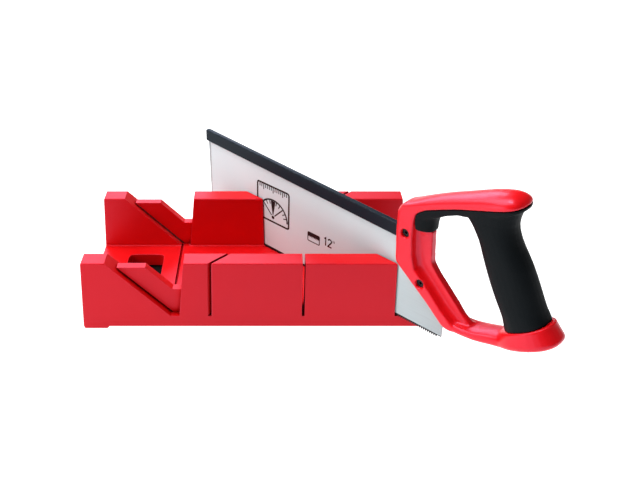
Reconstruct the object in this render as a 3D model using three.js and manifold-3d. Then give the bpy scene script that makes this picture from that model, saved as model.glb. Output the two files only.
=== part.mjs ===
import * as THREE from "three";
import { mergeVertices } from "three/addons/utils/BufferGeometryUtils.js";
import Module from "manifold-3d";

const wasm = await Module();
wasm.setup();

// Mitre box with a backed saw standing in one of its 45 degree slots.
// Millimetres, +Z up, X along the box, Y from the user's side towards the back.

// Mitre box, driving sizes
const BOX_LENGTH = 314;
const BOX_WIDTH = 142;
const BOX_HEIGHT = 72;
const WALL = 18;
const FLOOR_TOP = 15.3;
const FOOT_HEIGHT = 2;
const FOOT_LENGTH = 23.5;
const FOOT_ROUNDING = 2.5;
const FOOT_SET_BACK = 5;
const END_FLARE = 3.4;
const FACE_DRAFT = 1.5;
const CHANNEL_DRAFT = 1.2;
const RIM_ROUNDING = 1.2;
const BASE_ROUNDING = 1;
const CHANNEL_FILLET = 2;

// Slots that guide the saw
const SLOT_WIDTH = 2.6;
const SLOT_FLOOR = 14;
const SLOT_ANGLES = [45, 90, 135];
const CROSSING_X = 48.5;
const CROSSING_Y = 87.25;
const STANDING_ANGLE = 135;
const HALF_TURN = 180;
const DRAWN_BACK = 1.6;
const SAW_OFFSET = 0.4;

// Bevel slot through both walls near the left end
const BEVEL_FOOT = 8.4;
const BEVEL_GAP = 1.8;
const BLOCK_END_TOP_X = -62.7;
const BLOCK_END_FLARE = 5.9;
const TONGUE_THICKNESS = 8;
const TONGUE_DROP = 7.5;
const TONGUE_TOP_LENGTH = 26.5;
const TONGUE_STEP = 24;
const GROOVE_DEPTH = 2.8;
const GROOVE_FLOOR = 2.2;
const GROOVE_SHELF = 1;
const GROOVE_RUN_OUT = 5;

// Window in the floor
const WINDOW_X = -112.7;
const WINDOW_LENGTH = 37;
const WINDOW_DEPTH = 68;
const WINDOW_ROUNDING = 7;

// Ribbed underside
const SHELL = 4.5;
const RIB = 3;
const LONGEST_BAY = 40;

// Saw blade and its folded back
const TOE = -262;
const TOE_LEAN = 1.5;
const BLADE_THICKNESS = 1;
const TOOTH_PITCH = 2.3;
const TOOTH_HEIGHT = 2.5;
const PLAIN_END = 4;
const BACK_THICKNESS = 5;
const BACK_HEIGHT = 13;
const BACK_OVERHANG = 3.5;
const BACK_TOP_AT_TOE = 110.5;
const BACK_FALL = 0.0445;
const BACK_GRIP = 8;
const BACK_END = 4.5;
const BACK_ROUNDING = 1.8;
const TANG_SHARES = { heel: 0.321, rear: 0.133, foot: 0.18, knee: 0.355, top: 0.578 };

// Handle
const HANDLE_FRONT = -2;
const HANDLE_LENGTH = 161.2;
const HANDLE_FOOT = 21.1;
const HANDLE_HEIGHT = 148;
const HANDLE_CORNER = 5;
const CHEEK_HALF = 12;
const CHEEK_ROUNDING = 2.6;
const WEB_HALF = 3.7;
const WEB_FILLET = 4.5;
const CORE_HALF = 7.5;
const CORE_WEB_HALF = 4.4;
const RING_SIDES = 28;
const GRIP_POWER = 2.4;
const DOME_POWER = 2.2;
const SKIRT_POWER = 4.5;
const FIT = 0.3;

// Screws and nuts that clamp the handle to the blade
const SCREW_SHARES = { upper: [0.063, 0.526], lower: [0.187, 0.23] };
const SHANK_RADIUS = 2.2;
const HEAD_RADIUS = 3.8;
const HEAD_HEIGHT = 3;
const SEAT_HALF = 6;
const RECESS_RADIUS = 4.2;
const NUT_RADIUS = 3.8;
const NUT_HEIGHT = 3.6;
const SOCKET_RADIUS = 1.8;
const SOCKET_DEPTH = 1.6;
const ROUND_SIDES = 28;
const CURVE_STEPS = 5;
const LEAST_ROUNDING = 0.2;

// A cut runs this far past the surface that it opens
const OVERRUN = 4;

// Solids from closed geometries, and geometries from solids

function solidFrom(geometry) {
  const bare = geometry.clone();
  bare.deleteAttribute("normal");
  bare.deleteAttribute("uv");
  const merged = mergeVertices(bare, 1e-4);
  const mesh = new wasm.Mesh({
    numProp: 3,
    vertProperties: new Float32Array(merged.attributes.position.array),
    triVerts: new Uint32Array(merged.index.array),
  });
  return new wasm.Manifold(mesh);
}

function geometryFrom(solid) {
  const mesh = solid.getMesh();
  const indexed = new THREE.BufferGeometry();
  indexed.setAttribute("position", new THREE.BufferAttribute(mesh.vertProperties, 3));
  indexed.setIndex(new THREE.BufferAttribute(mesh.triVerts, 1));
  const geometry = indexed.toNonIndexed();
  geometry.computeVertexNormals();
  return geometry;
}

// A closed outline from corners [x, y, rounding], with a curve at each rounded corner
function outline(corners) {
  const shape = new THREE.Shape();
  corners.forEach(([x, y, rounding = 0], i) => {
    const before = corners[(i + corners.length - 1) % corners.length];
    const after = corners[(i + 1) % corners.length];
    const corner = new THREE.Vector2(x, y);
    const entry = towards(corner, before, rounding);
    const exit = towards(corner, after, rounding);
    if (i === 0) shape.moveTo(entry.x, entry.y);
    else shape.lineTo(entry.x, entry.y);
    if (rounding > 0) shape.quadraticCurveTo(x, y, exit.x, exit.y);
  });
  shape.closePath();
  return shape;
}

function towards(corner, [x, y], distance) {
  const direction = new THREE.Vector2(x, y).sub(corner).normalize();
  return corner.clone().addScaledVector(direction, distance);
}

// Corners grown by a distance on every side; they run counter-clockwise
function grown(corners, distance) {
  return corners.map(([x, y, rounding = 0], i) => {
    const corner = new THREE.Vector2(x, y);
    const before = corners[(i + corners.length - 1) % corners.length];
    const after = corners[(i + 1) % corners.length];
    const enter = towards(corner, before, 1).sub(corner).negate();
    const leave = towards(corner, after, 1).sub(corner);
    const out = new THREE.Vector2(enter.y + leave.y, -enter.x - leave.x).normalize();
    const reach = distance / out.dot(new THREE.Vector2(enter.y, -enter.x));
    const bulge = Math.sign(enter.cross(leave)) * distance;
    const kept = rounding > 0 ? Math.max(LEAST_ROUNDING, rounding + bulge) : 0;
    return [x + out.x * reach, y + out.y * reach, kept];
  });
}

// Outline in X and Z, extruded along Y
function acrossY(shape, low, high) {
  const settings = { depth: high - low, bevelEnabled: false, curveSegments: CURVE_STEPS };
  const geometry = new THREE.ExtrudeGeometry(shape, settings);
  return solidFrom(geometry.rotateX(Math.PI / 2).translate(0, high, 0));
}

// Outline in X and Y, extruded along Z
function upZ(shape, low, high) {
  const settings = { depth: high - low, bevelEnabled: false, curveSegments: CURVE_STEPS };
  return solidFrom(new THREE.ExtrudeGeometry(shape, settings).translate(0, 0, low));
}

// Outline in Y and Z, extruded along X
function alongX(shape, low, high) {
  const settings = { depth: high - low, bevelEnabled: false, curveSegments: CURVE_STEPS };
  const geometry = new THREE.ExtrudeGeometry(shape, settings);
  const turn = new THREE.Matrix4().makeBasis(
    new THREE.Vector3(0, 1, 0),
    new THREE.Vector3(0, 0, 1),
    new THREE.Vector3(1, 0, 0),
  );
  return solidFrom(geometry.applyMatrix4(turn).translate(low, 0, 0));
}

// Plate in X and Z of a half thickness, with its edges rounded over in steps
function softPlate(corners, half, rounding, steps = 3) {
  const near = [];
  for (let i = 0; i <= steps; i++) {
    const angle = (Math.PI / 2) * (i / steps);
    const inset = rounding * (1 - Math.sin(angle));
    near.push({ inset, y: rounding * (1 - Math.cos(angle)) - half });
  }
  const far = near.map(({ inset, y }) => ({ inset, y: -y })).reverse();
  const flat = (inset) => outline(grown(corners, -inset)).getPoints(CURVE_STEPS).slice(0, -1);
  const rings = [...near, ...far].map(({ inset, y }) =>
    flat(inset).map((point) => new THREE.Vector3(point.x, y, point.y)),
  );
  return loft(rings, flat(rounding));
}

function brick([x0, x1], [y0, y1], [z0, z1]) {
  const geometry = new THREE.BoxGeometry(x1 - x0, y1 - y0, z1 - z0);
  return solidFrom(geometry.translate((x0 + x1) / 2, (y0 + y1) / 2, (z0 + z1) / 2));
}

function fused(solids) {
  return solids.reduce((all, solid) => all.add(solid));
}

function cutBy(solid, tools) {
  return tools.reduce((left, tool) => left.subtract(tool), solid);
}

// Solid through rings of points, each with the same count. Seen from the first ring they run
// counter-clockwise, and the flat outline of a ring shows how to close both ends.
function loft(rings, flat) {
  const sides = flat.length;
  const last = (rings.length - 1) * sides;
  const faces = [];
  for (let start = 0; start < last; start += sides) {
    for (let side = 0; side < sides; side++) {
      const a = start + side;
      const b = start + ((side + 1) % sides);
      faces.push([a, a + sides, b], [b, a + sides, b + sides]);
    }
  }
  for (const [a, b, c] of THREE.ShapeUtils.triangulateShape(flat, [])) {
    faces.push([a, b, c], [last + a, last + c, last + b]);
  }
  const geometry = new THREE.BufferGeometry().setFromPoints(rings.flat());
  geometry.setIndex(faces.flat());
  return solidFrom(geometry);
}

// Unit rings between an ellipse and a box: the higher the power, the squarer
function unitRing(upperPower, lowerPower) {
  return Array.from({ length: RING_SIDES }, (_, i) => {
    const angle = (2 * Math.PI * i) / RING_SIDES;
    const power = Math.sin(angle) > 0 ? upperPower : lowerPower;
    return new THREE.Vector2(
      squared(Math.cos(angle), power),
      squared(Math.sin(angle), power),
    );
  });
}

function squared(value, power) {
  return Math.sign(value) * Math.abs(value) ** (2 / power);
}

const GRIP_RING = unitRing(GRIP_POWER, GRIP_POWER);
const ARM_RING = unitRing(DOME_POWER, SKIRT_POWER);

// Mitre box

// Slots are named by their angle to the length of the box, seen from above. Drawn on across
// the channel, they all meet in one point
function slotXAt(angle, y) {
  return CROSSING_X + (y - CROSSING_Y) / Math.tan(THREE.MathUtils.degToRad(angle));
}

function slotCut(angle) {
  const height = BOX_HEIGHT + OVERRUN - SLOT_FLOOR;
  const geometry = new THREE.BoxGeometry(2 * BOX_WIDTH, SLOT_WIDTH, height);
  geometry.rotateZ(THREE.MathUtils.degToRad(angle));
  const middle = BOX_WIDTH / 2;
  return solidFrom(geometry.translate(slotXAt(angle, middle), middle, SLOT_FLOOR + height / 2));
}

function channel() {
  const front = FACE_DRAFT;
  const inner = WALL + CHANNEL_DRAFT;
  const section = outline([
    [-front, FOOT_HEIGHT, BASE_ROUNDING],
    [BOX_WIDTH + front, FOOT_HEIGHT, BASE_ROUNDING],
    [BOX_WIDTH, BOX_HEIGHT, RIM_ROUNDING],
    [BOX_WIDTH - WALL, BOX_HEIGHT, RIM_ROUNDING],
    [BOX_WIDTH - inner, FLOOR_TOP, CHANNEL_FILLET],
    [inner, FLOOR_TOP, CHANNEL_FILLET],
    [WALL, BOX_HEIGHT, RIM_ROUNDING],
    [0, BOX_HEIGHT, RIM_ROUNDING],
  ]);
  return alongX(section, -BOX_LENGTH, BOX_LENGTH).intersect(endProfile());
}

// Both ends lean outwards towards the base
function endProfile() {
  const top = BOX_LENGTH / 2;
  const base = top + END_FLARE;
  const shape = outline([
    [-base, FOOT_HEIGHT, BASE_ROUNDING],
    [base, FOOT_HEIGHT, BASE_ROUNDING],
    [top, BOX_HEIGHT, RIM_ROUNDING],
    [-top, BOX_HEIGHT, RIM_ROUNDING],
  ]);
  return acrossY(shape, -OVERRUN, BOX_WIDTH + OVERRUN);
}

function blockEndX(z) {
  const down = (BOX_HEIGHT - z) / (BOX_HEIGHT - SLOT_FLOOR);
  return BLOCK_END_TOP_X - BLOCK_END_FLARE * down;
}

// The bevel runs down to the right at 45 degrees, so x + z stays the same along it
const BEVEL_SUM = blockEndX(SLOT_FLOOR) - BEVEL_FOOT + SLOT_FLOOR;
const TONGUE_SUM = BEVEL_SUM + BEVEL_GAP * Math.SQRT2;

function bevelOpening() {
  const above = BOX_HEIGHT + OVERRUN;
  return outline([
    [BEVEL_SUM - above, above],
    [BEVEL_SUM - SLOT_FLOOR, SLOT_FLOOR],
    [blockEndX(SLOT_FLOOR), SLOT_FLOOR],
    [blockEndX(above), above],
  ]);
}

// Groove across the floor under the bevelled cut: a narrow notch, then a slope to the right
function bevelGroove() {
  const above = FLOOR_TOP + OVERRUN;
  const left = BEVEL_SUM - FLOOR_TOP;
  const bottom = FLOOR_TOP - GROOVE_DEPTH;
  const right = TONGUE_SUM - SLOT_FLOOR + GROOVE_RUN_OUT;
  const shape = outline([
    [left, bottom],
    [left + GROOVE_FLOOR, bottom],
    [left + GROOVE_FLOOR, FLOOR_TOP - GROOVE_SHELF],
    [right, FLOOR_TOP],
    [right, above],
    [left, above],
  ]);
  return acrossY(shape, WALL - OVERRUN, BOX_WIDTH - WALL + OVERRUN);
}

// Thin guide above the bevel slot, set back from both faces of its wall
function tongue() {
  const top = BOX_HEIGHT - TONGUE_DROP;
  const topRight = TONGUE_SUM - top + TONGUE_TOP_LENGTH;
  const root = BLOCK_END_TOP_X + OVERRUN;
  return outline([
    [TONGUE_SUM - top, top],
    [TONGUE_SUM - SLOT_FLOOR + FIT, SLOT_FLOOR - FIT],
    [root, SLOT_FLOOR - FIT],
    [root, top - TONGUE_STEP],
    [topRight + TONGUE_STEP, top - TONGUE_STEP],
    [topRight, top],
  ]);
}

function floorWindow() {
  const [x, y] = [WINDOW_LENGTH / 2, WINDOW_DEPTH / 2];
  const middle = BOX_WIDTH / 2;
  return outline([
    [WINDOW_X - x, middle - y, WINDOW_ROUNDING],
    [WINDOW_X + x, middle - y, WINDOW_ROUNDING],
    [WINDOW_X + x, middle + y, WINDOW_ROUNDING],
    [WINDOW_X - x, middle + y, WINDOW_ROUNDING],
  ]);
}

// Stretches of [from, to] that keep clear of the obstacles, split by ribs
function bays(from, to, obstacles) {
  const free = [];
  let start = from;
  for (const [low, high] of [...obstacles].sort((a, b) => a[0] - b[0])) {
    if (low > start) free.push([start, Math.min(low, to)]);
    start = Math.max(start, high);
  }
  if (start < to) free.push([start, to]);
  return free.filter(([a, b]) => b - a > 2 * RIB).flatMap(([a, b]) => split(a, b));
}

function split(a, b) {
  const count = Math.ceil((b - a) / LONGEST_BAY);
  const step = (b - a + RIB) / count;
  return Array.from({ length: count }, (_, i) => [a + i * step, a + (i + 1) * step - RIB]);
}

// Pockets that core out a wall from below, between the slots
function wallPockets(nearY) {
  const y = [nearY + SHELL, nearY + WALL - SHELL];
  const obstacles = SLOT_ANGLES.map((angle) => {
    const ends = y.map((at) => slotXAt(angle, at));
    const clear = SHELL + SLOT_WIDTH;
    return [Math.min(...ends) - clear, Math.max(...ends) + clear];
  });
  const clearOfFoot = BOX_LENGTH / 2 + END_FLARE - FOOT_LENGTH - RIB;
  const from = BLOCK_END_TOP_X + SHELL;
  const low = [FOOT_HEIGHT - OVERRUN, BOX_HEIGHT - SHELL];
  return bays(from, clearOfFoot, obstacles).map((x) => brick(x, y, low));
}

// Pockets under the floor, in rows between the walls
function floorPockets() {
  const end = BOX_LENGTH / 2 - SHELL;
  const half = WINDOW_LENGTH / 2 + SHELL;
  const near = WALL + CHANNEL_DRAFT + SHELL;
  const rows = split(near, BOX_WIDTH - near);
  const z = [FOOT_HEIGHT - OVERRUN, FLOOR_TOP - SHELL];
  const columns = bays(-end, end, [[WINDOW_X - half, WINDOW_X + half]]);
  return rows.flatMap((y) => columns.map((x) => brick(x, y, z)));
}

// Pad under one corner of the box. Those on the right are set back from the long faces
function foot(sideX, sideY) {
  const outerX = BOX_LENGTH / 2 + END_FLARE;
  const innerX = outerX - FOOT_LENGTH;
  const outerY = BOX_WIDTH / 2 + FACE_DRAFT - (sideX > 0 ? FOOT_SET_BACK : 0);
  const innerY = outerY - WALL;
  const corners = [
    [innerX, innerY, FOOT_ROUNDING],
    [outerX, innerY, FOOT_ROUNDING],
    [outerX, outerY, FOOT_ROUNDING],
    [innerX, outerY, FOOT_ROUNDING],
  ].map(([x, y, rounding]) => [x * sideX, y * sideY + BOX_WIDTH / 2, rounding]);
  const top = FOOT_HEIGHT + BASE_ROUNDING;
  return upZ(outline(sideX * sideY > 0 ? corners : corners.reverse()), 0, top);
}

function mitreBox() {
  const walls = [
    [-OVERRUN, WALL + CHANNEL_DRAFT],
    [BOX_WIDTH - WALL - CHANNEL_DRAFT, BOX_WIDTH + OVERRUN],
  ];
  const openings = walls.map(([low, high]) => acrossY(bevelOpening(), low, high));
  const setBack = (WALL - TONGUE_THICKNESS) / 2;
  const tongues = [setBack, BOX_WIDTH - WALL + setBack].map((y) =>
    acrossY(tongue(), y, y + TONGUE_THICKNESS),
  );
  const feet = [-1, 1].flatMap((x) => [-1, 1].map((y) => foot(x, y)));
  const body = fused([cutBy(channel(), [...openings, bevelGroove()]), ...tongues, ...feet]);
  return cutBy(body, [
    ...SLOT_ANGLES.map(slotCut),
    upZ(floorWindow(), -OVERRUN, FLOOR_TOP + OVERRUN),
    ...wallPockets(0),
    ...wallPockets(BOX_WIDTH - WALL),
    ...floorPockets(),
  ]);
}

// Saw, drawn in its own plane: X from toe to handle, Z up from the tips of the teeth, and Y
// through the thickness

function backTopAt(x) {
  return BACK_TOP_AT_TOE - BACK_FALL * (x - TOE);
}

function bladeOutline() {
  const edge = TOOTH_HEIGHT;
  const gripped = BACK_HEIGHT - BACK_GRIP;
  const corners = [[TOE + TOE_LEAN, edge]];
  const first = TOE + PLAIN_END;
  const teeth = Math.floor((HEEL - PLAIN_END / 2 - first) / TOOTH_PITCH);
  for (let i = 0; i < teeth; i++) {
    const x = first + i * TOOTH_PITCH;
    corners.push([x, edge], [x + TOOTH_PITCH / 2, 0]);
  }
  corners.push([first + teeth * TOOTH_PITCH, edge]);
  corners.push([HEEL, edge], ...tangCorners(BACK_END + 2 * FIT, 0));
  corners.push([BACK_END + 2 * FIT, backTopAt(BACK_END) - gripped - FIT]);
  corners.push([TOE - TOE_LEAN, backTopAt(TOE) - gripped - FIT]);
  return outline(corners);
}

// Outline of the blade inside the handle, from its heel up and round to its front
function tangCorners(front, spare) {
  const { heel, rear, foot, knee, top } = TANG_SHARES;
  return [
    [along(heel) + spare, up(foot) + spare],
    [along(rear) + spare, up(knee) + spare],
    [along(rear) + spare, up(top) + spare],
    [front, up(top) + spare],
  ];
}

function roundBar(radius, near, far, [x, z]) {
  const geometry = new THREE.CylinderGeometry(radius, radius, far - near, ROUND_SIDES);
  return solidFrom(geometry.translate(x, (near + far) / 2, z));
}

function blade() {
  const sheet = acrossY(bladeOutline(), -BLADE_THICKNESS / 2, BLADE_THICKNESS / 2);
  const reach = BLADE_THICKNESS;
  return cutBy(
    sheet,
    Object.values(SCREWS).map((at) => roundBar(SHANK_RADIUS + FIT, -reach, reach, at)),
  );
}

function backCorners(spare = 0) {
  const left = TOE - BACK_OVERHANG - spare;
  const right = BACK_END + spare;
  const depth = BACK_HEIGHT + spare;
  return [
    [left, backTopAt(left) - depth, BACK_ROUNDING],
    [right, backTopAt(right) - depth, BACK_ROUNDING],
    [right, backTopAt(right) + spare, BACK_ROUNDING],
    [left, backTopAt(left) + spare, BACK_ROUNDING],
  ];
}

function back() {
  const bar = softPlate(backCorners(), BACK_THICKNESS / 2, BACK_ROUNDING / 2, 2);
  const [left, right] = [TOE - TOE_LEAN - FIT, BACK_END + OVERRUN];
  const gripped = BACK_HEIGHT - BACK_GRIP;
  const fold = outline([
    [left, backTopAt(left) - BACK_HEIGHT - OVERRUN],
    [right, backTopAt(right) - BACK_HEIGHT - OVERRUN],
    [right, backTopAt(right) - gripped],
    [left, backTopAt(left) - gripped],
  ]);
  const half = BLADE_THICKNESS / 2 + FIT;
  return bar.subtract(acrossY(fold, -half, half));
}

// Handle outlines, in the plane of the saw. Their shares run along the handle from its front,
// and up from its foot; a third share rounds the corner

// Front limb: flat cheeks from the top corner down the slope, and a thin web behind them
const LIMB_SHARES = [
  [0.012, 0.309, 0.8],
  [0.236, 0.12],
  [0.36, 0.001, 1.2],
  [0.447, 0.007, 0.6],
  [0.509, 0.038, 0.4],
  [0.502, 0.078, 0.4],
  [0.447, 0.119, 0.6],
  [0.261, 0.311, 0.6],
  [0.218, 0.369, 0.6],
  [0.207, 0.531],
  [0.207, 0.761, 0.6],
  [0, 0.672, 0.6],
  [0, 0.518],
];

// The cheeks end at this line, and only the web goes on behind it
const CHEEK_END_SHARES = [
  [0.11, 0.518],
  [0.122, 0.389],
  [0.144, 0.312],
  [0.238, 0.226],
  [0.337, 0.122],
  [0.422, 0.053],
];

// Everything inside this outline is rubber on the outside
const GRIP_ZONE_SHARES = [
  [0.12, 0.577, 0.4],
  [0.385, 0.577],
  [0.658, 0.146],
  [0.943, 0.343],
  [0.943, 0.639],
  [0.769, 0.842],
  [0.769, 0.987],
  [0.62, 0.922, 1.6],
  [0.366, 0.82, 1.6],
  [0.171, 0.728, 1.05],
  [0.112, 0.673, 0.9],
];

// Top arm: [x, top, crease, bottom, half thickness]
const TOP_ARM_SHARES = [
  [0.002, 0.683, 0.672, 0.612, 0.625],
  [0.016, 0.701, 0.681, 0.599, 0.9],
  [0.037, 0.72, 0.693, 0.599, 0.983],
  [0.068, 0.736, 0.705, 0.605, 1],
  [0.136, 0.778, 0.734, 0.626, 1.008],
  [0.211, 0.821, 0.768, 0.68, 1.017],
  [0.285, 0.86, 0.801, 0.714, 1.042],
  [0.385, 0.908, 0.847, 0.768, 1.117],
  [0.509, 0.968, 0.896, 0.828, 1.25],
  [0.602, 0.999, 0.926, 0.862, 1.333],
  [0.654, 0.999, 0.943, 0.899, 1.25],
  [0.687, 0.985, 0.947, 0.92, 0.958],
  [0.703, 0.964, 0.949, 0.935, 0.375],
];

// Lower arm: [x, top, crease, bottom, half thickness]
const LOWER_ARM_SHARES = [
  [0.372, 0.059, 0.053, 0.016, 0.867],
  [0.422, 0.062, 0.053, 0.005, 0.992],
  [0.471, 0.066, 0.055, 0.006, 1],
  [0.533, 0.082, 0.064, 0.016, 1.017],
  [0.596, 0.109, 0.076, 0.032, 1.042],
  [0.664, 0.138, 0.096, 0.054, 1.1],
  [0.732, 0.173, 0.12, 0.078, 1.183],
  [0.788, 0.196, 0.148, 0.108, 1.15],
  [0.86, 0.225, 0.18, 0.15, 0.9],
  [0.9, 0.225, 0.2, 0.175, 0.4],
];

// Flange under the grip, in leaning rings from its underside up: [x, z, reach, rise, half thickness]
const FLANGE_SHARES = [
  [0.827, 0.131, 0.12, 0.064, 1.1],
  [0.827, 0.139, 0.148, 0.076, 1.42],
  [0.8265, 0.152, 0.161, 0.081, 1.56],
  [0.8256, 0.166, 0.1653, 0.083, 1.6],
  [0.8245, 0.175, 0.164, 0.0835, 1.58],
  [0.81, 0.23, 0.129, 0.0865, 1.46],
  [0.806, 0.248, 0.123, 0.0865, 1.42],
  [0.802, 0.27, 0.121, 0.0865, 1.41],
];

// Grip: [z, front, rear, half thickness]
const GRIP_SHARES = [
  [0.072, 0.74, 1.07, 1.35],
  [0.166, 0.7, 1.005, 1.35],
  [0.268, 0.669, 0.945, 1.35],
  [0.369, 0.6145, 0.8795, 1.32],
  [0.47, 0.564, 0.8325, 1.3],
  [0.592, 0.513, 0.771, 1.283],
  [0.68, 0.479, 0.714, 1.258],
  [0.747, 0.434, 0.681, 1.233],
  [0.815, 0.385, 0.664, 1.233],
  [0.896, 0.385, 0.674, 1.25],
  [0.95, 0.409, 0.709, 1.083],
  [1.004, 0.422, 0.713, 0.667],
];

// Rounded pad at the front of the finger opening: [z, front, rear, half thickness]
const PAD_SHARES = [
  [0.518, 0.006, 0.21, 0.958],
  [0.626, 0.006, 0.213, 0.967],
  [0.673, 0.006, 0.223, 0.983],
  [0.707, 0.006, 0.248, 1],
  [0.734, 0.006, 0.292, 1.008],
  [0.774, 0.006, 0.385, 1.017],
];

// Finger opening, cleared through the rubber
const FINGERS_SHARES = [
  [0.23, 0.504],
  [0.385, 0.504],
  [0.539, 0.518],
  [0.497, 0.673, 0.8],
  [0.45, 0.777, 0.95],
  [0.385, 0.791, 0.75],
  [0.298, 0.745, 0.8],
  [0.245, 0.703, 0.7],
  [0.23, 0.639, 0.65],
];

// Core of the grip inside the rubber, rooted in both arms
const GRIP_CORE_SHARES = [
  [0.738, 0.126],
  [0.875, 0.22],
  [0.794, 0.436],
  [0.633, 0.747],
  [0.627, 0.95],
  [0.484, 0.896],
  [0.521, 0.747],
  [0.67, 0.409],
];

// Web inside the corner pad, rooted in the limb and the top arm
const PAD_CORE_SHARES = [
  [0.099, 0.545],
  [0.18, 0.545],
  [0.18, 0.666, 0.6],
  [0.298, 0.778, 0.6],
  [0.298, 0.828],
  [0.099, 0.747],
];

function along(share) {
  return HANDLE_FRONT + share * HANDLE_LENGTH;
}

function up(share) {
  return HANDLE_FOOT + share * HANDLE_HEIGHT;
}

function inHandle(shares) {
  return shares.map(([x, z, rounding = 0]) => [along(x), up(z), rounding * HANDLE_CORNER]);
}

const HEEL = along(TANG_SHARES.heel);
const SCREWS = Object.fromEntries(
  Object.entries(SCREW_SHARES).map(([place, [x, z]]) => [place, [along(x), up(z)]]),
);

// Stations with a smooth step put in between each two
function finer(stations) {
  const at = (i) => stations[THREE.MathUtils.clamp(i, 0, stations.length - 1)];
  const between = (i) =>
    at(i).map((value, k) => (9 * (value + at(i + 1)[k]) - at(i - 1)[k] - at(i + 2)[k]) / 16);
  return stations.flatMap((row, i) => (i === 0 ? [row] : [between(i - 1), row]));
}

function arm(stations) {
  const rings = finer(stations).map(([x, top, crease, bottom, half]) =>
    ARM_RING.map((unit) => {
      const reach = unit.y > 0 ? top - crease : crease - bottom;
      const side = -half * CHEEK_HALF * unit.x;
      return new THREE.Vector3(along(x), side, up(crease + reach * unit.y));
    }),
  );
  return loft(rings, ARM_RING);
}

function upright(stations) {
  const rings = finer(stations).map(([z, front, rear, half]) =>
    GRIP_RING.map((unit) => {
      const middle = (front + rear) / 2;
      const side = -half * CHEEK_HALF * unit.y;
      return new THREE.Vector3(along(middle + (rear - middle) * unit.x), side, up(z));
    }),
  );
  return loft(rings, GRIP_RING);
}

function flange(stations) {
  const rings = stations.map(([x, z, reach, rise, half]) =>
    GRIP_RING.map((unit) => {
      const side = -half * CHEEK_HALF * unit.y;
      return new THREE.Vector3(along(x + reach * unit.x), side, up(z + rise * unit.x));
    }),
  );
  return loft(rings, GRIP_RING);
}

// Room beside the web on one side, with a fillet along its edge
function webRoom(side) {
  const past = HANDLE_LENGTH;
  const edge = inHandle(CHEEK_END_SHARES);
  const corners = [[edge.at(0)[0], past], ...edge, [edge.at(-1)[0], 0], [past, 0], [past, past]];
  const half = (PAST_HANDLE - WEB_HALF) / 2;
  const room = softPlate(corners, half, WEB_FILLET);
  return room.translate([0, side * (WEB_HALF + half), 0]);
}

// Plain plate of a half thickness from corner lists
function plate(corners, half) {
  return acrossY(outline(corners), -half, half);
}

const PAST_HANDLE = 2 * CHEEK_HALF;

function sawSlot() {
  const open = HANDLE_FRONT - OVERRUN;
  const tang = [
    [open, -FIT],
    [HEEL + FIT, -FIT],
    ...tangCorners(open, FIT),
  ];
  const sheet = plate(tang, BLADE_THICKNESS / 2 + FIT);
  const half = BACK_THICKNESS / 2 + FIT;
  return sheet.add(plate(backCorners(FIT), half));
}

function screwRoom(at) {
  return fused([
    roundBar(SHANK_RADIUS + FIT, -PAST_HANDLE, PAST_HANDLE, at),
    roundBar(RECESS_RADIUS, -PAST_HANDLE, -SEAT_HALF, at),
    roundBar(RECESS_RADIUS, SEAT_HALF, PAST_HANDLE, at),
  ]);
}

function gripCore(spare) {
  return fused([
    plate(grown(inHandle(GRIP_CORE_SHARES), spare), CORE_HALF + spare),
    plate(grown(inHandle(PAD_CORE_SHARES), spare), CORE_WEB_HALF + spare),
  ]);
}

function handleCore() {
  const solid = softPlate(inHandle(LIMB_SHARES), CHEEK_HALF, CHEEK_ROUNDING);
  const limb = cutBy(solid, [webRoom(-1), webRoom(1)]);
  const arms = [arm(TOP_ARM_SHARES), arm(LOWER_ARM_SHARES), flange(FLANGE_SHARES)];
  const frame = fused([limb, ...arms]);
  const bare = frame.subtract(plate(inHandle(GRIP_ZONE_SHARES), PAST_HANDLE));
  const whole = bare.add(gripCore(0));
  return cutBy(whole, [sawSlot(), ...Object.values(SCREWS).map(screwRoom)]);
}

function gripRubber() {
  const skin = fused([upright(GRIP_SHARES), upright(PAD_SHARES), arm(TOP_ARM_SHARES)]);
  const zone = grown(inHandle(GRIP_ZONE_SHARES), -FIT);
  const kept = skin.intersect(plate(zone, PAST_HANDLE));
  return cutBy(kept, [plate(inHandle(FINGERS_SHARES), PAST_HANDLE), gripCore(FIT)]);
}

// Screw with a socket head on the near side and its nut in the far recess

function screw(at) {
  const headTop = -SEAT_HALF - HEAD_HEIGHT;
  const nutTop = SEAT_HALF + NUT_HEIGHT;
  const head = roundBar(HEAD_RADIUS, headTop - FIT, -SEAT_HALF - FIT, at);
  const shank = roundBar(SHANK_RADIUS, -SEAT_HALF - 2 * FIT, nutTop, at);
  const socket = new THREE.CylinderGeometry(SOCKET_RADIUS, SOCKET_RADIUS, 2 * SOCKET_DEPTH, 6);
  const [x, z] = at;
  return head.add(shank).subtract(solidFrom(socket.translate(x, headTop - FIT, z)));
}

function nut(at) {
  const near = SEAT_HALF + FIT;
  const body = roundBar(NUT_RADIUS, near, near + NUT_HEIGHT, at);
  return body.subtract(roundBar(SHANK_RADIUS + FIT, 0, near + 2 * NUT_HEIGHT, at));
}

// Materials

const RED_PLASTIC = { color: 0xd62b3c, roughness: 0.42, metalness: 0 };
const HANDLE_RED = { color: 0xe83246, roughness: 0.38, metalness: 0 };
const RUBBER = { color: 0x1c2228, roughness: 0.8, metalness: 0 };
const STEEL = { color: 0xd3d7db, roughness: 0.28, metalness: 0.9 };
const DARK_STEEL = { color: 0x2a333d, roughness: 0.45, metalness: 0.6 };
const BLACK_STEEL = { color: 0x1a1b1e, roughness: 0.5, metalness: 0.7 };

function named(name, solid, look) {
  const mesh = new THREE.Mesh(geometryFrom(solid), new THREE.MeshStandardMaterial(look));
  mesh.name = name;
  return mesh;
}

// Assembly

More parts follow.
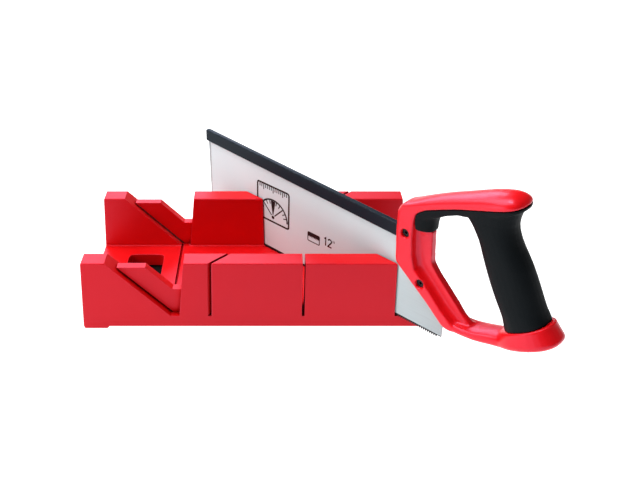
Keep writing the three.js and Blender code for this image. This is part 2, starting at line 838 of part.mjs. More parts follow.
function saw() {
  const group = new THREE.Group();
  group.add(
    named("saw_blade", blade(), STEEL),
    named("blade_back", back(), DARK_STEEL),
    named("handle_core", handleCore(), HANDLE_RED),
    named("handle_rubber", gripRubber(), RUBBER),
  );
  for (const [place, at] of Object.entries(SCREWS)) {
    group.add(named(`screw_${place}`, screw(at), BLACK_STEEL));
    group.add(named(`nut_${place}`, nut(at), BLACK_STEEL));
  }
  group.rotation.z = THREE.MathUtils.degToRad(STANDING_ANGLE - HALF_TURN);
  group.position.set(DRAWN_BACK, SAW_OFFSET, SLOT_FLOOR + FIT).applyEuler(group.rotation);
  group.position.x += slotXAt(STANDING_ANGLE, 0);
  return group;
}

const assembly = new THREE.Group();
assembly.add(named("mitre_box", mitreBox(), RED_PLASTIC), saw());

// Origin under the middle of the whole, on the ground
const bounds = new THREE.Box3().setFromObject(assembly, true);
const middle = bounds.getCenter(new THREE.Vector3());
assembly.position.set(-middle.x, -middle.y, -bounds.min.z);

export default assembly;
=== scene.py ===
"""Mitre box with a back saw standing in its diagonal slot: looks, light and camera.

Lengths are in metres, except where a comment says millimetres or pixels.
"""

import math

import bmesh
import bpy
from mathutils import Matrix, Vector
from mathutils.geometry import tessellate_polygon


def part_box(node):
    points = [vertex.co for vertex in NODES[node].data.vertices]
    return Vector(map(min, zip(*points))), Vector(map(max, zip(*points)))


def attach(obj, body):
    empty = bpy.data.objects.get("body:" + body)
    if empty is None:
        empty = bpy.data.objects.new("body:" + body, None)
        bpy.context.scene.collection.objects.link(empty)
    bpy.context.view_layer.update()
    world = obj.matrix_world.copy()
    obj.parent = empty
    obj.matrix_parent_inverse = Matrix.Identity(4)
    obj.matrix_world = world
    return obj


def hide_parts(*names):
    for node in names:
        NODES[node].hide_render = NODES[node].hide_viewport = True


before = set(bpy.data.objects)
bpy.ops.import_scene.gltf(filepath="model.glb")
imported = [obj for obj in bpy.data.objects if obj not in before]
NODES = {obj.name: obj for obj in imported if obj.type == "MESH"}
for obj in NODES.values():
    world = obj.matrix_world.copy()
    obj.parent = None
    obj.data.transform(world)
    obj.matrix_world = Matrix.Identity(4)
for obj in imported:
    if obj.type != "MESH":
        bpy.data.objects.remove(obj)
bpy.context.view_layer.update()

# Photograph, in pixels
PHOTO_WIDTH = 640
FOCAL_PIXELS = 813.53
AXIS_FROM_CENTRE = (52.23, 49.53)

# Camera, fitted to the edges of the box in the photograph
CAMERA_PLACE = Vector((-0.03198, -0.66062, 0.4806))
CAMERA_PITCH = math.radians(62)
SENSOR_MILLIMETRES = 36
NEAREST, FARTHEST = 0.02, 60

# Plane of the saw: its origin is at the tips of the teeth, below the front of the handle
SAW_ORIGIN = Vector((0.090183, -0.035967, 0.0143))
SAW_ALONG = Vector((1, -1, 0)).normalized()
SAW_FAR = Vector((1, 1, 0)).normalized()
SAW_ANGLE = math.radians(-45)
BLADE_FACE = -0.0005
TOE_FROM_ORIGIN = 0.262
TOE_ALONG = SAW_ORIGIN.dot(SAW_ALONG) - TOE_FROM_ORIGIN

# Surround and area lights: name, place, aim, size, watts, colour
WHITE = (1, 1, 1)
COOL = (0.72, 0.78, 1.0)
SKY_STRENGTH = 0.07
LIGHTS = (
    ("light_top", (-0.25, 0.08, 1.6), (-0.05, 0.05, 0), (0.7, 0.5), 15, WHITE),
    ("light_back", (-0.55, 1.9, 1.15), (0, 0, 0), (1.8, 0.9), 30, COOL),
    ("light_left", (-0.7, 0.15, 0.95), (0, 0, 0.05), (0.9, 0.9), 13, WHITE),
    ("light_front", (-0.5, -0.25, 0.2), (-0.1, 0, 0.04), (0.25, 0.25), 0.65, WHITE),
)


def camera():
    """The photograph's view."""
    data = bpy.data.cameras.new("camera")
    data.sensor_width = SENSOR_MILLIMETRES
    data.lens = FOCAL_PIXELS * SENSOR_MILLIMETRES / PHOTO_WIDTH
    data.shift_x = AXIS_FROM_CENTRE[0] / PHOTO_WIDTH
    data.shift_y = -AXIS_FROM_CENTRE[1] / PHOTO_WIDTH
    data.clip_start = NEAREST
    data.clip_end = FARTHEST
    seen_by = bpy.data.objects.new("camera", data)
    seen_by.location = CAMERA_PLACE
    seen_by.rotation_euler = (CAMERA_PITCH, 0, 0)
    bpy.context.scene.collection.objects.link(seen_by)
    bpy.context.scene.camera = seen_by


def area_light(name, place, aim, size, power, colour):
    data = bpy.data.lights.new(name, "AREA")
    data.shape = "RECTANGLE"
    data.size, data.size_y = size
    data.energy = power
    data.color = colour
    lamp = bpy.data.objects.new(name, data)
    lamp.location = place
    lamp.rotation_euler = (Vector(aim) - Vector(place)).to_track_quat("-Z", "Y").to_euler()
    bpy.context.scene.collection.objects.link(lamp)


def lighting():
    """A faint white surround, with soft lights overhead, behind, high left and low front left."""
    world = bpy.data.worlds.new("surround")
    world.use_nodes = True
    bpy.context.scene.world = world
    sky = world.node_tree.nodes["Background"]
    sky.inputs["Color"].default_value = (*WHITE, 1)
    sky.inputs["Strength"].default_value = SKY_STRENGTH
    for light in LIGHTS:
        area_light(*light)


# Openness of the solid just under an outer edge, where the edge marks are full and where they have
# gone; the marks are wear, and on the box and the blade's back also painted highlights
EDGE_FULL_OPENNESS, EDGE_GONE_OPENNESS = 0.55, 0.93
RAYS = 6


class Nodes:
    """Short names for the nodes of one material."""

    def __init__(self, name):
        self.material = bpy.data.materials.new(name)
        self.material.use_nodes = True
        self.tree = self.material.node_tree
        self.shader = self.tree.nodes["Principled BSDF"]
        self.place = self.add("ShaderNodeTexCoord").outputs["Object"]

    def add(self, kind, **settings):
        node = self.tree.nodes.new(kind)
        for name, value in settings.items():
            setattr(node, name, value)
        return node

    def link(self, source, target):
        self.tree.links.new(source, target)

    def set(self, **values):
        """Sets even values on the shader's own sockets."""
        for name, value in values.items():
            socket = self.shader.inputs[name.replace("_", " ")]
            socket.default_value = value

    def turned(self, angle, stretch=(1, 1, 1)):
        """The place turned about the upright axis, then stretched along its own axes."""
        spin = self.add("ShaderNodeMapping")
        spin.inputs["Rotation"].default_value = (0, 0, angle)
        self.link(self.place, spin.inputs["Vector"])
        scaling = self.add("ShaderNodeMapping")
        scaling.inputs["Scale"].default_value = stretch
        self.link(spin.outputs["Vector"], scaling.inputs["Vector"])
        return scaling.outputs["Vector"]

    def axes(self, place=None):
        """The three coordinates of a place, as X, Y and Z."""
        split = self.add("ShaderNodeSeparateXYZ")
        self.link(place or self.place, split.inputs["Vector"])
        return split.outputs

    def noise(self, scale, detail, roughness, at=None):
        node = self.add("ShaderNodeTexNoise")
        self.link(at or self.place, node.inputs["Vector"])
        node.inputs["Scale"].default_value = scale
        node.inputs["Detail"].default_value = detail
        node.inputs["Roughness"].default_value = roughness
        return node.outputs["Fac"]

    def ramp(self, value, to=(0, 1), over=(0, 1)):
        """The value's range over, carried to another range and held at its ends."""
        node = self.add("ShaderNodeMapRange")
        self.link(value, node.inputs["Value"])
        node.inputs["From Min"].default_value = over[0]
        node.inputs["From Max"].default_value = over[1]
        node.inputs["To Min"].default_value = to[0]
        node.inputs["To Max"].default_value = to[1]
        return node.outputs["Result"]

    def math(self, operation, a, b=0):
        node = self.add("ShaderNodeMath", operation=operation)
        for socket, value in zip(node.inputs, (a, b)):
            if isinstance(value, (int, float)):
                socket.default_value = value
            else:
                self.link(value, socket)
        return node.outputs["Value"]

    def blend(self, share, first, second):
        """From the first colour, at a share of 0, to the second, at 1."""
        node = self.add("ShaderNodeMix", data_type="RGBA")
        self.link(share, node.inputs["Factor"])
        first_colour, second_colour = 6, 7
        for index, value in ((first_colour, first), (second_colour, second)):
            if isinstance(value, tuple):
                node.inputs[index].default_value = (*value, 1)
            else:
                self.link(value, node.inputs[index])
        result_colour = 2
        return node.outputs[result_colour]

    def bevelled(self, radius):
        node = self.add("ShaderNodeBevel", samples=RAYS)
        node.inputs["Radius"].default_value = radius
        return node.outputs["Normal"]

    def covered(self, distance, inside=False):
        """1 in the open, less where a wall of the same piece is closer than the distance."""
        node = self.add("ShaderNodeAmbientOcclusion", samples=RAYS, inside=inside, only_local=True)
        node.inputs["Distance"].default_value = distance
        return node.outputs["AO"]

    def edge_marks(self, width, noise, to, over=(0, 1)):
        """Marks on outer edges and corners, broken up by noise, for wear and for painted edge
        highlights; none on flats and in hollows.
        """
        openness = self.covered(width, inside=True)
        edges = self.ramp(openness, to=(1, 0), over=(EDGE_FULL_OPENNESS, EDGE_GONE_OPENNESS))
        patches = self.ramp(self.noise(**noise), to, over)
        return self.math("MULTIPLY", edges, patches)

    def bump(self, height, strength, distance, normal=None):
        node = self.add("ShaderNodeBump")
        node.inputs["Strength"].default_value = strength
        node.inputs["Distance"].default_value = distance
        self.link(height, node.inputs["Height"])
        if normal is not None:
            self.link(normal, node.inputs["Normal"])
        return node.outputs["Normal"]

    def colour(self, source):
        self.link(source, self.shader.inputs["Base Color"])

    def gloss(self, source):
        self.link(source, self.shader.inputs["Specular IOR Level"])

    def rough(self, source):
        self.link(source, self.shader.inputs["Roughness"])

    def glow(self, source):
        self.link(source, self.shader.inputs["Emission Strength"])

    def normal(self, source):
        self.link(source, self.shader.inputs["Normal"])


# Tint of the reflections on both red plastics, which turns their highlights pink
RED_GLOSS = (0.80, 0.60, 1.0, 1)
EDGE_MARK_WIDTH = 0.0012
SCUFF_TURN = 0.6
SCRATCH_TURN = 0.3

BOX_REDS = (0.60, 0.0015, 0.0015), (0.67, 0.003, 0.003)
# Rubbed edge colour, lighter than wear alone: it also serves as a painted highlight along the
# edges
BOX_RUBBED_AND_HIGHLIT = (0.78, 0.035, 0.06)
# Painted shade laid into the slots and narrow hollows, whose gloss is cut down too
BOX_PAINTED_SLOT_SHADE = (0.05, 0.0005, 0.0005)
BOX_GLOSS, BOX_GLOSS_IN_SLOTS = 0.28, 0.02
BOX_EDGE_RADIUS = 0.0008
SLOT_REACH = 0.008


def box_plastic():
    """Satin red moulding with a fine grain, cloudy tone, rubbed edges lightened further as painted
    edge highlights, and painted shade darkening the slots.
    """
    n = Nodes("box_plastic")
    n.set(Specular_Tint=RED_GLOSS)
    # How closed in each place is, which drives the painted shade in the slots and the cut gloss
    # there
    openness = n.covered(SLOT_REACH)
    n.gloss(n.ramp(openness, to=(BOX_GLOSS_IN_SLOTS, BOX_GLOSS), over=(0.50, 0.85)))
    cloud = n.noise(scale=14, detail=4, roughness=0.55)
    grain = n.noise(scale=2600, detail=2, roughness=0.6)
    body = n.blend(cloud, *BOX_REDS)
    drawn_out = n.turned(SCUFF_TURN, stretch=(1, 0.12, 1))
    scuffs = n.noise(scale=420, detail=5, roughness=0.7, at=drawn_out)
    marked = n.ramp(scuffs, to=(0, 0.16), over=(0.60, 0.74))
    patches = {"scale": 160, "detail": 4, "roughness": 0.6}
    # Rubbed edges, also a painted highlight along the box's edges
    rubbed = n.edge_marks(EDGE_MARK_WIDTH, patches, to=(0.15, 0.55))
    skin = n.blend(n.math("MAXIMUM", marked, rubbed), body, BOX_RUBBED_AND_HIGHLIT)
    # Painted shade: darker towards near-black the more closed in a place is
    shade = n.ramp(openness, to=(0.97, 0), over=(0.14, 0.64))
    n.colour(n.blend(shade, skin, BOX_PAINTED_SLOT_SHADE))
    mottled = n.math("ADD", cloud, n.math("MULTIPLY", scuffs, 0.5))
    n.rough(n.ramp(mottled, to=(0.34, 0.50), over=(0.3, 1.2)))
    edge = n.bevelled(BOX_EDGE_RADIUS)
    n.normal(n.bump(grain, strength=0.14, distance=0.00012, normal=edge))
    return n.material


HANDLE_REDS = (0.76, 0.003, 0.005), (0.84, 0.005, 0.008)
HANDLE_RUBBED = (0.90, 0.08, 0.12)
HANDLE_GLOSS = 0.48


def handle_plastic():
    """Glossier red moulding with flow streaks and faint handling marks."""
    n = Nodes("handle_plastic")
    n.set(Specular_IOR_Level=HANDLE_GLOSS, Specular_Tint=RED_GLOSS)
    cloud = n.noise(scale=22, detail=4, roughness=0.5)
    along_saw = n.turned(-SAW_ANGLE, stretch=(0.3, 1, 1))
    streaks = n.noise(scale=60, detail=4, roughness=0.6, at=along_saw)
    body = n.blend(cloud, *HANDLE_REDS)
    drawn_out = n.turned(SCRATCH_TURN, stretch=(1, 0.08, 0.5))
    fine = n.noise(scale=700, detail=4, roughness=0.75, at=drawn_out)
    scratches = n.ramp(fine, to=(0, 0.12), over=(0.62, 0.75))
    patches = {"scale": 220, "detail": 4, "roughness": 0.6}
    rubbed = n.edge_marks(EDGE_MARK_WIDTH, patches, to=(0.04, 0.26))
    n.colour(n.blend(n.math("MAXIMUM", scratches, rubbed), body, HANDLE_RUBBED))
    n.rough(n.ramp(streaks, to=(0.30, 0.34), over=(0.3, 0.7)))
    grain = n.noise(scale=1900, detail=2, roughness=0.5)
    n.normal(n.bump(grain, strength=0.06, distance=0.0001))
    return n.material


RUBBER_BLACKS = (0.0035, 0.005, 0.006), (0.0065, 0.009, 0.011)
RUBBER_DUSTY = (0.024, 0.030, 0.036)
RUBBER_GLOSS = 0.07
PEBBLES_PER_METRE = 1500


def handle_rubber():
    """Soft black rubber with a fine pebbled grain and dusty patches."""
    n = Nodes("handle_rubber")
    n.set(Specular_IOR_Level=RUBBER_GLOSS)
    cloud = n.noise(scale=40, detail=5, roughness=0.6)
    body = n.blend(cloud, *RUBBER_BLACKS)
    specks = n.noise(scale=1500, detail=4, roughness=0.8)
    dust = n.ramp(specks, to=(0, 0.15), over=(0.6, 0.8))
    n.colour(n.blend(dust, body, RUBBER_DUSTY))
    n.rough(n.ramp(cloud, to=(0.50, 0.64), over=(0.3, 0.7)))
    pebble = n.add("ShaderNodeTexVoronoi", feature="SMOOTH_F1")
    pebble.inputs["Scale"].default_value = PEBBLES_PER_METRE
    n.link(n.place, pebble.inputs["Vector"])
    n.normal(n.bump(pebble.outputs["Distance"], strength=0.22, distance=0.00016))
    return n.material


BLADE_TOWARDS_TOE, BLADE_COOL_CAST = (0.64, 0.735, 0.765), (0.63, 0.79, 0.82)
BLADE_PAINTED_SHADE = (0.38, 0.425, 0.445)
BLADE_GROUND_LINE = (0.62, 0.74, 0.765)
BLADE_STAINED = (0.42, 0.46, 0.48)
BLADE_TRIMMED = (0.26, 0.29, 0.30)
BLADE_TEETH = (0.012, 0.012, 0.014)
BLADE_GLOSS = 0.10
BLADE_EDGE_RADIUS = 0.0002
GRINDING_STRETCH = (22, 400, 2600)

# Where the blade's tones change along X, and how far the border of the shade wanders: towards the
# middle a painted cool cast offsets the pink light bounced from the box, and towards the handle
# painted shade darkens the blade
COOL_CAST_FROM_TO = (-0.08, 0.0)
SHADE_FROM_TO = (0.06, 0.14)
SHADE_WANDER = 0.03

# Darkened strip at the toe, and blackened teeth up to a height above the bench
TRIM_FROM_TO = (0.0026, 0.0034)
TRIM_WANDER = 0.002
TEETH_BLACK_TO = 0.0176
TEETH_FADE = 0.0004
TEETH_WANDER = 0.0004


def blade_steel():
    """Ground sheet with long fine grinding lines, few stains and blackened teeth, with a painted
    cool cast towards the middle and painted shade towards the handle.
    """
    n = Nodes("blade_steel")
    n.set(Specular_IOR_Level=BLADE_GLOSS)
    along = n.turned(-SAW_ANGLE)
    ground = n.turned(-SAW_ANGLE, GRINDING_STRETCH)
    lines = n.noise(scale=1, detail=5, roughness=0.65, at=ground)
    cloud = n.noise(scale=9, detail=4, roughness=0.6, at=along)
    x = n.axes()["X"]
    wandering = n.math("ADD", x, n.math("MULTIPLY", cloud, SHADE_WANDER))
    # Painted shade: the blade darkened towards the handle, outside the box
    shade_share = n.ramp(wandering, over=SHADE_FROM_TO)
    # Painted cool cast: bluer from the toe towards the middle, against the pink light bounced from
    # the box
    cooled_tone = n.blend(n.ramp(x, over=COOL_CAST_FROM_TO), BLADE_TOWARDS_TOE, BLADE_COOL_CAST)
    body = n.blend(shade_share, cooled_tone, BLADE_PAINTED_SHADE)
    lined = n.blend(n.ramp(lines, to=(0, 0.35), over=(0.35, 0.7)), body, BLADE_GROUND_LINE)
    spots = n.noise(scale=120, detail=5, roughness=0.7, at=along)
    sheet = n.blend(n.ramp(spots, to=(0, 0.20), over=(0.64, 0.80)), lined, BLADE_STAINED)
    z = n.axes()["Z"]
    uneven = n.noise(scale=900, detail=3, roughness=0.6)
    ragged = n.math("ADD", z, n.math("MULTIPLY", uneven, TEETH_WANDER))
    teeth = n.ramp(ragged, to=(1, 0), over=(TEETH_BLACK_TO, TEETH_BLACK_TO + TEETH_FADE))
    from_toe = n.math("SUBTRACT", n.axes(along)["X"], TOE_ALONG)
    fraying = n.noise(scale=260, detail=4, roughness=0.7)
    frayed = n.math("ADD", from_toe, n.math("MULTIPLY", fraying, TRIM_WANDER))
    trimmed = n.blend(n.ramp(frayed, to=(0.75, 0), over=TRIM_FROM_TO), sheet, BLADE_TRIMMED)
    n.colour(n.blend(teeth, trimmed, BLADE_TEETH))
    n.rough(n.ramp(n.math("ADD", lines, cloud), to=(0.30, 0.48), over=(0.7, 1.3)))
    edge = n.bevelled(BLADE_EDGE_RADIUS)
    n.normal(n.bump(lines, strength=0.10, distance=0.00006, normal=edge))
    return n.material


BACK_LACQUER = (0.005, 0.010, 0.016), (0.010, 0.018, 0.026)
BACK_BARE_AND_HIGHLIT = (0.26, 0.29, 0.32)
BACK_GLOSS = 0.08
BACK_WORN_WIDTH = 0.0007
BACK_EDGE_RADIUS = 0.0008


def back_steel():
    """Dark lacquered strip, with bare metal showing through along its edges, which also serves as
    a painted highlight along the fold.
    """
    n = Nodes("back_steel")
    n.set(Specular_IOR_Level=BACK_GLOSS)
    cloud = n.noise(scale=30, detail=4, roughness=0.55)
    body = n.blend(cloud, *BACK_LACQUER)
    chips = {"scale": 300, "detail": 5, "roughness": 0.7}
    # Bare-metal wear on the edges, also a painted highlight along the folded top edge
    worn = n.edge_marks(BACK_WORN_WIDTH, chips, to=(0, 0.6), over=(0.42, 0.62))
    n.colour(n.blend(worn, body, BACK_BARE_AND_HIGHLIT))
    n.rough(n.ramp(cloud, to=(0.30, 0.44), over=(0.3, 0.7)))
    grain = n.noise(scale=1400, detail=3, roughness=0.6)
    edge = n.bevelled(BACK_EDGE_RADIUS)
    n.normal(n.bump(grain, strength=0.10, distance=0.0001, normal=edge))
    return n.material


FASTENER_BLACKS = (0.005, 0.005, 0.006), (0.012, 0.012, 0.014)
FASTENER_BARE = (0.14, 0.14, 0.15)
FASTENER_METAL = 0.2
FASTENER_GLOSS = 0.25
FASTENER_WORN_WIDTH = 0.0004
FASTENER_EDGE_RADIUS = 0.0003


def fastener_steel():
    """Blackened steel, rubbed bright on its corners."""
    n = Nodes("fastener_steel")
    n.set(Metallic=FASTENER_METAL, Specular_IOR_Level=FASTENER_GLOSS)
    patches = {"scale": 900, "detail": 4, "roughness": 0.6}
    worn = n.edge_marks(FASTENER_WORN_WIDTH, patches, to=(0.1, 0.7))
    body = n.blend(n.noise(scale=500, detail=4, roughness=0.6), *FASTENER_BLACKS)
    n.colour(n.blend(worn, body, FASTENER_BARE))
    smears = n.noise(scale=700, detail=3, roughness=0.6)
    n.rough(n.ramp(smears, to=(0.32, 0.5), over=(0.3, 0.7)))
    grain = n.noise(scale=3000, detail=3, roughness=0.6)
    edge = n.bevelled(FASTENER_EDGE_RADIUS)
    n.normal(n.bump(grain, strength=0.15, distance=0.00006, normal=edge))
    return n.material


INK_BLACKS = (0.004, 0.0045, 0.005), (0.010, 0.011, 0.012)
INK_RUBBED = (0.30, 0.33, 0.35)
INK_GLOSS = 0.2


def ink():
    """Matt black print, slightly broken where the blade has rubbed."""
    n = Nodes("ink")
    n.set(Specular_IOR_Level=INK_GLOSS)
    specks = n.noise(scale=1100, detail=4, roughness=0.7)
    gaps = n.ramp(specks, to=(0, 0.35), over=(0.66, 0.80))
    body = n.blend(n.noise(scale=200, detail=3, roughness=0.5), *INK_BLACKS)
    n.colour(n.blend(gaps, body, INK_RUBBED))
    smears = n.noise(scale=500, detail=3, roughness=0.6)
    n.rough(n.ramp(smears, to=(0.45, 0.6), over=(0.3, 0.7)))
    grain = n.noise(scale=2400, detail=2, roughness=0.6)
    n.normal(n.bump(grain, strength=0.08, distance=0.00004))
    return n.material


FLOOR_GREYS = (0.28, 0.28, 0.28), (0.31, 0.31, 0.31)
# Painted shadow colour of the floor under the box
FLOOR_PAINTED_SHADOW = (0.003, 0.003, 0.003)
FLOOR_GLOW = 1.22
FLOOR_ROUGHNESS = 0.9
FLOOR_GLOSS = 0.1
FLOOR_HALF_WIDTH = 60
FLOOR_CELLS = 4

# Distances in from the edge of the box at which the painted shadow under it is full and at which
# it has gone
SHADOW_FULL_FROM_EDGE, SHADOW_GONE_FROM_EDGE = 0.022, 0.002


def under_box(n):
    """1 under the box and 0 beyond it, with a soft edge: the mask of the painted shadow on the
    floor.
    """
    low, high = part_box("mitre_box")
    place = n.axes()
    inside = None
    for axis in range(2):
        middle, half = (low[axis] + high[axis]) / 2, (high[axis] - low[axis]) / 2
        away = n.math("ABSOLUTE", n.math("SUBTRACT", place[axis], middle))
        within = n.ramp(away, to=(1, 0), over=(half - SHADOW_FULL_FROM_EDGE, half - SHADOW_GONE_FROM_EDGE))
        inside = within if inside is None else n.math("MULTIPLY", inside, within)
    return inside


def floor_paint():
    """White floor that glows evenly, like glass lit from below, with a painted shadow under the
    box where the glow is cut and the floor darkened.
    """
    n = Nodes("floor_paint")
    n.set(
        Roughness=FLOOR_ROUGHNESS,
        Specular_IOR_Level=FLOOR_GLOSS,
        Emission_Color=(*WHITE, 1),
    )
    # Painted shadow under the box: the glow is cut and the floor darkened there
    covered = under_box(n)
    n.glow(n.ramp(covered, to=(FLOOR_GLOW, 0)))
    paint = n.blend(n.noise(scale=3, detail=2, roughness=0.5), *FLOOR_GREYS)
    n.colour(n.blend(covered, paint, FLOOR_PAINTED_SHADOW))
    return n.material


def floor():
    mesh = bpy.data.meshes.new("floor")
    shape = bmesh.new()
    cells = {"x_segments": FLOOR_CELLS, "y_segments": FLOOR_CELLS}
    bmesh.ops.create_grid(shape, size=FLOOR_HALF_WIDTH, **cells)
    shape.to_mesh(mesh)
    shape.free()
    sheet = bpy.data.objects.new("floor", mesh)
    sheet.data.materials.append(floor_paint())
    bpy.context.scene.collection.objects.link(sheet)


# Skins of the moulded handle, made finer and smooth
WELD_DISTANCE = 0.000002
SKIN_VOXEL = 0.0007
SMOOTHING = 0.5
HANDLE_ROUNDS = 20
GRIP_ROUNDS = 9

# Steps smoothed further: middle along the saw and above its origin, reach and rounds
FLANGE_START = (0.110, 0.034), 0.024, 90
WEB_END = (0.0735, 0.0345), 0.017, 60
MELT_SLOPE = 1.6


def dress(node, material):
    """Gives a carried-over node its finish."""
    for slot in NODES[node].material_slots:
        slot.material = material


def applied(piece, kind, **settings):
    """Puts one modifier into the piece's mesh."""
    modifier = piece.modifiers.new(kind.lower(), kind)
    for name, value in settings.items():
        setattr(modifier, name, value)
    depsgraph = bpy.context.evaluated_depsgraph_get()
    mesh = bpy.data.meshes.new_from_object(piece.evaluated_get(depsgraph))
    piece.modifiers.clear()
    piece.data = mesh


def softened(node, name, material, rounds):
    """A finer, smooth-skinned copy of a moulded solid, shown in its place."""
    mesh = NODES[node].data.copy()
    shape = bmesh.new()
    shape.from_mesh(mesh)
    bmesh.ops.remove_doubles(shape, verts=shape.verts, dist=WELD_DISTANCE)
    shape.to_mesh(mesh)
    shape.free()
    piece = bpy.data.objects.new(name, mesh)
    bpy.context.scene.collection.objects.link(piece)
    applied(piece, "REMESH", mode="VOXEL", voxel_size=SKIN_VOXEL)
    applied(piece, "SMOOTH", factor=SMOOTHING, iterations=rounds)
    piece.data.materials.clear()
    piece.data.materials.append(material)
    piece.data.shade_smooth()
    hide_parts(node)
    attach(piece, "saw")
    return piece


def melted(piece, middle, reach, rounds):
    """Smooths the skin further near one place on the saw, so that a step flows away."""
    group = piece.vertex_groups.new(name="melted")
    for vertex in piece.data.vertices:
        offset = vertex.co - SAW_ORIGIN
        away = Vector((offset.dot(SAW_ALONG), offset.z)) - Vector(middle)
        share = 1 - away.length / reach
        if share > 0:
            group.add([vertex.index], min(1, MELT_SLOPE * share), "REPLACE")
    applied(piece, "SMOOTH", factor=SMOOTHING, iterations=rounds, vertex_group="melted")
    piece.vertex_groups.clear()


def finishes():
    """Dresses every node of the CAD model."""
    dress("mitre_box", box_plastic())
    dress("saw_blade", blade_steel())
    dress("blade_back", back_steel())
    handle = softened("handle_core", "handle_moulding", handle_plastic(), HANDLE_ROUNDS)
    melted(handle, *FLANGE_START)
    melted(handle, *WEB_END)
    softened("handle_rubber", "grip_moulding", handle_rubber(), GRIP_ROUNDS)
    dark = fastener_steel()
    for node in ("screw_upper", "screw_lower", "nut_upper", "nut_lower"):
        dress(node, dark)


# Depth of the print in the blade, and its height above the blade's face
INK_DEPTH = 0.00002
INK_PROUD = 0.00004

# Marks printed on the near side of the blade, in millimetres: along the saw, above the teeth
PER_METRE = 1000
CORNER_STEPS = 6
SHARPEST_MITRE = 0.5

FRAME_LEFT, FRAME_RIGHT, FRAME_LOW, FRAME_HIGH = -188.3, -140.8, 34.0, 77.3
FRAME_CORNER = 3.4
FRAME_LINE = 2.1

TICKS = 15
TICK_PITCH = 2.75
TICK_LINE = 1.2
TICK_SHORT, TICK_LONG = 3.8, 6.0
FIRST_TICK_FROM_LEFT = 4.6
TICKS_BELOW_FRAME = 0.15
LONG_TICK_EVERY, FIRST_LONG_TICK = 5, 2

PIVOT = (-164.5, 40.5)
PIVOT_RADIUS = 2.0
PIVOT_CORNERS = 24
ARC_RADIUS = 20.5
ARC_LINE = 1.9
ARC_STEPS = 36
ARC_INSIDE = ARC_RADIUS - 1.1
DIVISION_START = ARC_RADIUS - 5
DIVISION_DEGREES = 15
DIVISION_LINE = 1.2
SPOKE_START = 3.0
SPOKE_LINE = 1.4
SPOKE_DEGREES = 45
POINTER_DEGREES = (80, 100)
POINTER_STEPS = 4

BADGE_LEFT, BADGE_RIGHT, BADGE_LOW, BADGE_HIGH = -115.4, -98.7, 34.0, 45.0
BADGE_CORNER = 1.6
BADGE_LINE = 1.1
BADGE_MARGIN = 1.0
BADGE_TEETH = 8
BADGE_TIPS, BADGE_ROOTS = 38.9, 40.6

NUMBER_LINE = 1.5
ONE = [(-92.9, 45.5), (-91.0, 47.2), (-91.0, 38.0)]
TWO_HOOK = {"centre": (-85.7, 45.0), "radius": 2.1, "start": 170, "end": -35, "steps": 12}
TWO_FOOT = [(-88.0, 38.5), (-83.2, 38.5)]
INCH_LINE = 0.7
INCH_PLACES = (-81.6, -80.0)
INCH_HIGH, INCH_LOW = 47.5, 44.9


def arc(centre, radius, start, end, steps):
    """Points of an arc, from one angle in degrees to another."""
    angles = [math.radians(start + (end - start) * i / steps) for i in range(steps + 1)]
    return [(centre[0] + radius * math.cos(a), centre[1] + radius * math.sin(a)) for a in angles]


def rounded(left, right, low, high, corner):
    """A rectangle with round corners."""
    centres = (
        (right - corner, low + corner, -90),
        (right - corner, high - corner, 0),
        (left + corner, high - corner, 90),
        (left + corner, low + corner, 180),
    )
    return [
        point
        for x, z, turn in centres
        for point in arc((x, z), corner, turn, turn + 90, CORNER_STEPS)
    ]


def outline(left, right, low, high, corner, line):
    """A line drawn round inside a rounded rectangle."""
    inner = rounded(left + line, right - line, low + line, high - line, corner - line)
    return rounded(left, right, low, high, corner), [inner]


def stroke(points, line):
    """A line of even width drawn through the points."""
    sides = ([], [])
    for i, point in enumerate(points):
        here = Vector(point)
        before = (here - Vector(points[i - 1])).normalized() if i else None
        after = (Vector(points[i + 1]) - here).normalized() if i + 1 < len(points) else None
        way = ((before or after) + (after or before)).normalized()
        reach = line / 2 / max(SHARPEST_MITRE, way.dot(before or after))
        normal = Vector((-way.y, way.x)) * reach
        sides[0].append(tuple(here + normal))
        sides[1].append(tuple(here - normal))
    return sides[0] + sides[1][::-1], []


def spoke(angle, start, end, line):
    """A line pointing away from the pivot."""
    turn = math.radians(angle)
    way = (math.cos(turn), math.sin(turn))
    return stroke([(PIVOT[0] + way[0] * r, PIVOT[1] + way[1] * r) for r in (start, end)], line)


def ruler_ticks():
    """The rule along the top of the frame, with longer ticks at even steps."""
    top = FRAME_HIGH - FRAME_LINE - TICKS_BELOW_FRAME
    ticks = []
    for i in range(TICKS):
        x = FRAME_LEFT + FIRST_TICK_FROM_LEFT + i * TICK_PITCH
        length = TICK_LONG if i % LONG_TICK_EVERY == FIRST_LONG_TICK else TICK_SHORT
        ticks.append(stroke([(x, top), (x, top - length)], TICK_LINE))
    return ticks


def scale_marks():
    """A framed protractor with a rule along its top."""
    shapes = [outline(FRAME_LEFT, FRAME_RIGHT, FRAME_LOW, FRAME_HIGH, FRAME_CORNER, FRAME_LINE)]
    shapes += ruler_ticks()
    shapes.append(stroke(arc(PIVOT, ARC_RADIUS, 0, 180, ARC_STEPS), ARC_LINE))
    for angle in range(DIVISION_DEGREES, 180, DIVISION_DEGREES):
        if angle % SPOKE_DEGREES:
            shapes.append(spoke(angle, DIVISION_START, ARC_INSIDE, DIVISION_LINE))
    for angle in (SPOKE_DEGREES, 180 - SPOKE_DEGREES):
        shapes.append(spoke(angle, SPOKE_START, ARC_INSIDE, SPOKE_LINE))
    right, left = POINTER_DEGREES
    wide_end = arc(PIVOT, ARC_INSIDE, right, left, POINTER_STEPS)
    narrow_end = arc(PIVOT, SPOKE_START, left, right, POINTER_STEPS)
    shapes.append((wide_end + narrow_end, []))
    last_corner = 360 - 360 / PIVOT_CORNERS
    shapes.append((arc(PIVOT, PIVOT_RADIUS, 0, last_corner, PIVOT_CORNERS - 1), []))
    return shapes


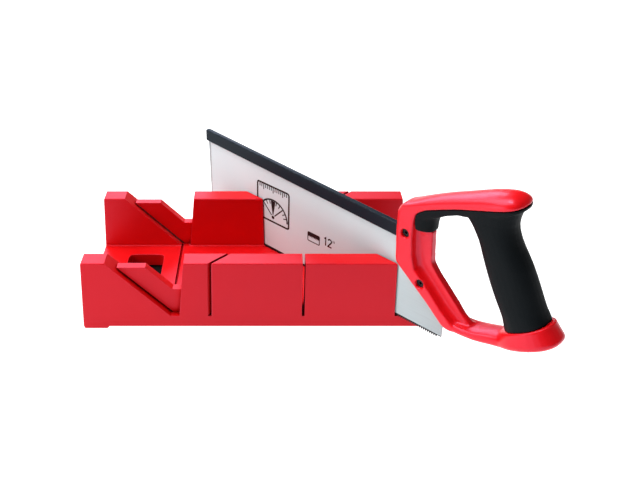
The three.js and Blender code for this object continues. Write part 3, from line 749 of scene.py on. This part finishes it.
def tooth_badge():
    """A small framed strip with a toothed edge."""
    shapes = [outline(BADGE_LEFT, BADGE_RIGHT, BADGE_LOW, BADGE_HIGH, BADGE_CORNER, BADGE_LINE)]
    left, right = BADGE_LEFT + BADGE_MARGIN, BADGE_RIGHT - BADGE_MARGIN
    top = BADGE_HIGH - BADGE_MARGIN
    pitch = (right - left) / BADGE_TEETH
    edge = [(left, BADGE_ROOTS)]
    for i in range(BADGE_TEETH):
        edge += [(left + pitch * (i + 0.5), BADGE_TIPS), (left + pitch * (i + 1), BADGE_ROOTS)]
    shapes.append((edge + [(right, top), (left, top)], []))
    return shapes


def number_marks():
    """The saw's length in inches."""
    shapes = [stroke(ONE, NUMBER_LINE), stroke(arc(**TWO_HOOK) + TWO_FOOT, NUMBER_LINE)]
    shapes += [stroke([(x, INCH_HIGH), (x, INCH_LOW)], INCH_LINE) for x in INCH_PLACES]
    return shapes


def on_blade(point, depth):
    """The place of a mark's point, at a depth into the blade from its near face."""
    along, up = point
    flat = SAW_ORIGIN + SAW_ALONG * (along / PER_METRE) + SAW_FAR * (BLADE_FACE + depth)
    return flat + Vector((0, 0, up / PER_METRE))


def print_on_blade(name, shapes):
    """Thin raised shapes on the near face of the blade."""
    mesh = bpy.data.meshes.new(name)
    shape = bmesh.new()
    for outer, holes in shapes:
        loops = [outer, *holes]
        flat = [[Vector((*point, 0)) for point in loop] for loop in loops]
        front = [shape.verts.new(on_blade(point, -INK_PROUD)) for loop in loops for point in loop]
        back = [shape.verts.new(on_blade(point, INK_DEPTH)) for loop in loops for point in loop]
        for face in tessellate_polygon(flat):
            shape.faces.new([front[i] for i in face])
            shape.faces.new([back[i] for i in reversed(face)])
        first = 0
        for loop in loops:
            for i in range(len(loop)):
                a, b = first + i, first + (i + 1) % len(loop)
                shape.faces.new([front[b], front[a], back[a], back[b]])
            first += len(loop)
    bmesh.ops.recalc_face_normals(shape, faces=shape.faces)
    shape.to_mesh(mesh)
    shape.free()
    piece = bpy.data.objects.new(name, mesh)
    bpy.context.scene.collection.objects.link(piece)
    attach(piece, "saw")
    return piece


def printed_marks():
    black = ink()
    marks = {
        "scale_marks": scale_marks(),
        "tooth_badge": tooth_badge(),
        "number_marks": number_marks(),
    }
    for name, shapes in marks.items():
        print_on_blade(name, shapes).data.materials.append(black)


def colour_management():
    view = bpy.context.scene.view_settings
    view.view_transform = "Standard"
    view.look = "None"
    view.exposure = 0
    view.gamma = 1


camera()
lighting()
floor()
finishes()
printed_marks()
colour_management()
